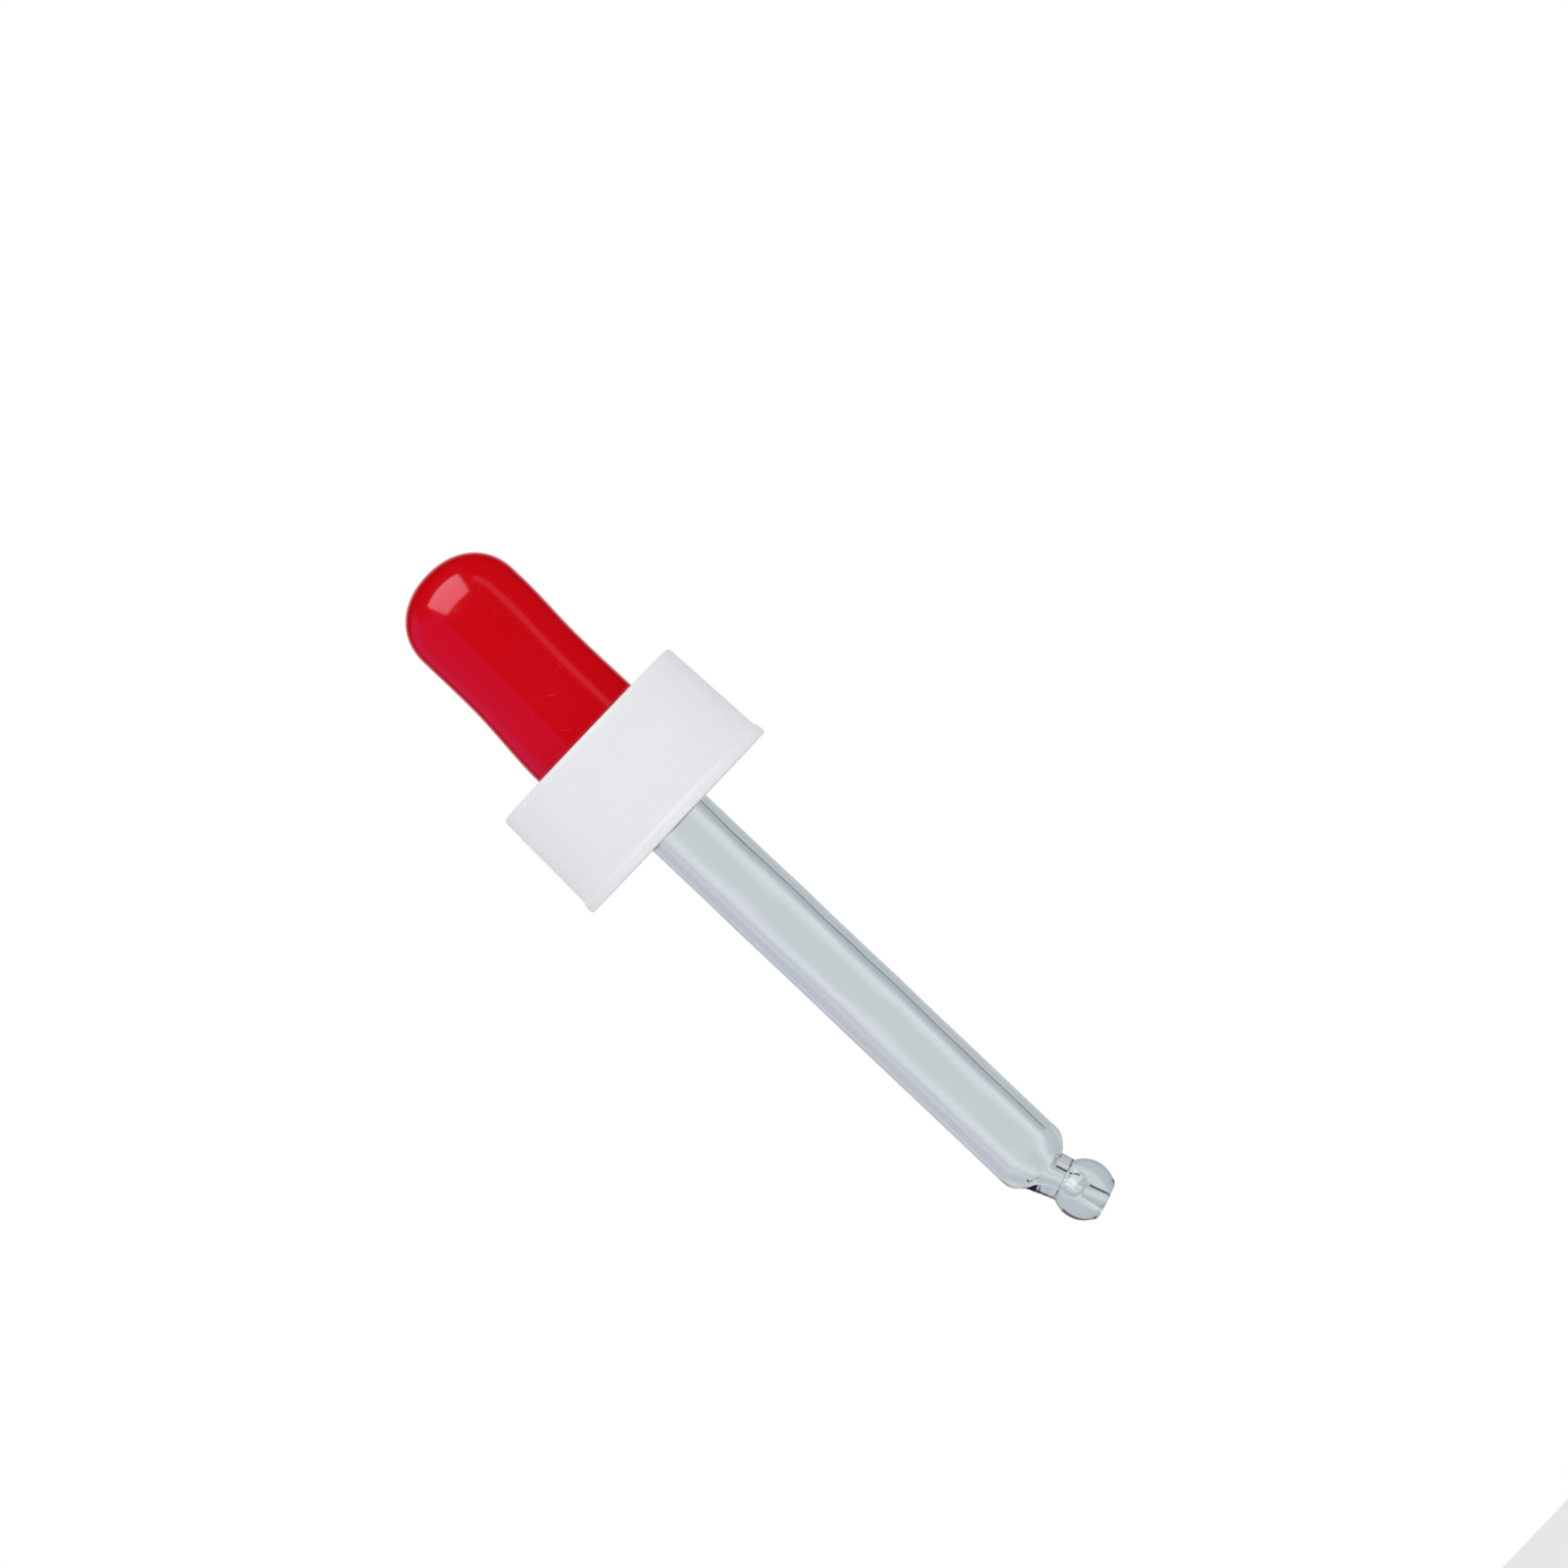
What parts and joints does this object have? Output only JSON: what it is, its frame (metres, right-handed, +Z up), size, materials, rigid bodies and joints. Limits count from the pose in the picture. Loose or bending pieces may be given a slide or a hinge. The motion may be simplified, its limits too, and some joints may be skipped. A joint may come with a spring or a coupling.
{
  "type": "medicine dropper",
  "caption": "Glass pipette with a bent ball tip in a squeezable rubber bulb, held by a ribbed screw cap that closes a medicine bottle.",
  "frame": {"origin": "on the pipette's axis in the seal plane, where the underside of the bulb's flange lands on the bottle's lip", "axes": "+Z up the axis towards the bulb, +X towards the side that the ball tip bends to"},
  "size_m": [0.0222, 0.0222, 0.0825],
  "materials": {
    "cap_plastic": "white moulded polypropylene with fine vertical grip grooves, satin",
    "bulb_rubber": "red moulded rubber, smooth and slightly glossy",
    "pipette_glass": "clear drawn glass with a fire-polished ball tip"
  },
  "bodies": {
    "cap": {"screw_cap": "cap_plastic"},
    "bulb_foot": {"bulb_base": "bulb_rubber"},
    "bulb_top": {"bulb_dome": "bulb_rubber"},
    "pipette": {"glass_pipette": "pipette_glass"}
  },
  "joints": [
    {"name": "bulb_swivel", "type": "hinge", "parent": "cap", "child": "bulb_foot", "pos_m": [0, 0, 0], "axis": [0, 0, 1], "continuous": true},
    {"name": "bulb_press", "type": "slide", "parent": "bulb_foot", "child": "bulb_top", "axis": [0, 0, -1], "range_m": [0, 0.004], "stiffness_N_per_m": 600, "deforming": ["bulb_dome"]},
    {"name": "pipette_pull", "type": "slide", "parent": "bulb_foot", "child": "pipette", "axis": [0, 0, -1], "range_m": [0, 0.0054]}
  ]
}
